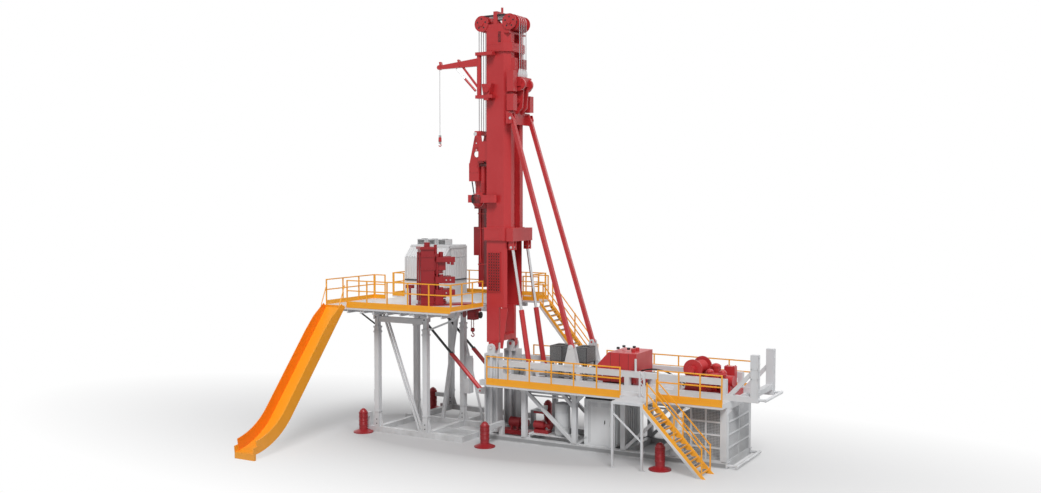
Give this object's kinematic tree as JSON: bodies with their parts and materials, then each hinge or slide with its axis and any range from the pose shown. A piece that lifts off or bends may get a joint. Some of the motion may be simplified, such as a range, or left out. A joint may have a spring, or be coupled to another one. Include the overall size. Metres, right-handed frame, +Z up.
{
  "type": "drilling rig",
  "caption": "Skid-mounted drilling rig: braced mast with crown sheaves, top drive and jib over a raised drill floor with cabin, slide, stairs and machinery deck.",
  "frame": {"origin": "on the ground below the mast's foot pins, on the rig's centre line, on the underside of the skid's front cross beam", "axes": "+X to the tail of the skid, -Y to the side with the slide and the deck stair, +Z up"},
  "size_m": [20.412, 15.0919, 19.899],
  "materials": {
    "white_paint": "satin",
    "red_paint": "satin",
    "yellow_paint": "satin",
    "grey_paint": "satin",
    "bright_steel": "polished",
    "window_glass": "gloss"
  },
  "bodies": {
    "root": {"skid_base": "white_paint", "skid_posts": "white_paint", "skid_braces": "white_paint", "deck_beams": "white_paint", "deck_plate": "white_paint", "mast_pedestals": "white_paint", "girders": "white_paint", "tail_frame": "white_paint", "tail_cage": "white_paint", "equipment_cabinet": "white_paint", "jack_arms": "white_paint", "stair_landings": "white_paint", "stair_treads": "white_paint", "floor_base": "white_paint", "floor_legs": "white_paint", "floor_braces": "white_paint", "foot_brackets": "white_paint", "floor_beams": "white_paint", "floor_plate": "white_paint", "cabin_walls": "white_paint", "cabin_roof": "white_paint", "cabin_coolers": "white_paint", "skid_pump": "red_paint", "power_pack_hood": "red_paint", "winch_frame": "red_paint", "jacks": "red_paint", "cylinder_barrels": "red_paint", "lift_cylinders": "red_paint", "roughneck_column": "red_paint", "gate_hoist": "red_paint", "mast_lower": "red_paint", "mast_upper": "red_paint", "mast_collar": "red_paint", "crown_frame": "red_paint", "rear_head": "red_paint", "back_braces": "red_paint", "jib_bracket": "red_paint", "stair_stringers": "yellow_paint", "stair_handrails": "yellow_paint", "deck_railing": "yellow_paint", "floor_railing": "yellow_paint", "slide": "yellow_paint", "power_unit": "grey_paint", "coolers": "grey_paint", "cylinder_rods": "bright_steel", "mast_rails": "bright_steel", "hoist_lines": "bright_steel", "rear_lines": "bright_steel", "cabin_glass": "window_glass"},
    "cabinet_door": {"cabinet_door": "white_paint"},
    "winch_drum": {"winch_drum": "red_paint"},
    "roughneck_wrench": {"roughneck_wrench": "red_paint"},
    "crown_sheaves_front": {"crown_sheaves_front": "red_paint"},
    "crown_sheaves_rear": {"crown_sheaves_rear": "red_paint"},
    "jib": {"jib_boom": "red_paint", "jib_line": "bright_steel"},
    "top_drive": {"top_drive_carriage": "red_paint", "top_drive_gearbox": "red_paint", "pipe_handler": "red_paint"}
  },
  "joints": [
    {"name": "top_drive_travel", "type": "slide", "parent": "root", "child": "top_drive", "axis": [0, 0, 1], "range_m": [-0.6, 3.6], "deforming": ["hoist_lines"]},
    {"name": "jib_slew", "type": "hinge", "parent": "root", "child": "jib", "pos_m": [-0.7, -1.01, 16.7], "axis": [0, 0, 1], "range_deg": [-20, 110]},
    {"name": "roughneck_travel", "type": "slide", "parent": "root", "child": "roughneck_wrench", "axis": [0.6629, 0.7487, 0], "range_m": [0, 1.6]},
    {"name": "winch_drum_turn", "type": "hinge", "parent": "root", "child": "winch_drum", "pos_m": [9.64, 0, 3.83], "axis": [0, 1, 0], "continuous": true},
    {"name": "crown_front_turn", "type": "hinge", "parent": "root", "child": "crown_sheaves_front", "pos_m": [-0.78, 0, 19.12], "axis": [0, 1, 0], "continuous": true},
    {"name": "crown_rear_turn", "type": "hinge", "parent": "root", "child": "crown_sheaves_rear", "pos_m": [0.7, 0, 19.12], "axis": [0, 1, 0], "continuous": true},
    {"name": "cabinet_door_swing", "type": "hinge", "parent": "root", "child": "cabinet_door", "pos_m": [4.973, -1.4057, 1.29], "axis": [0, 0, -1], "range_deg": [0, 110]}
  ],
  "couplings": [
    {"joint": "crown_front_turn", "follows": "top_drive_travel", "rad_per_m": 2.8653},
    {"joint": "crown_rear_turn", "follows": "top_drive_travel", "rad_per_m": 2.8653}
  ]
}
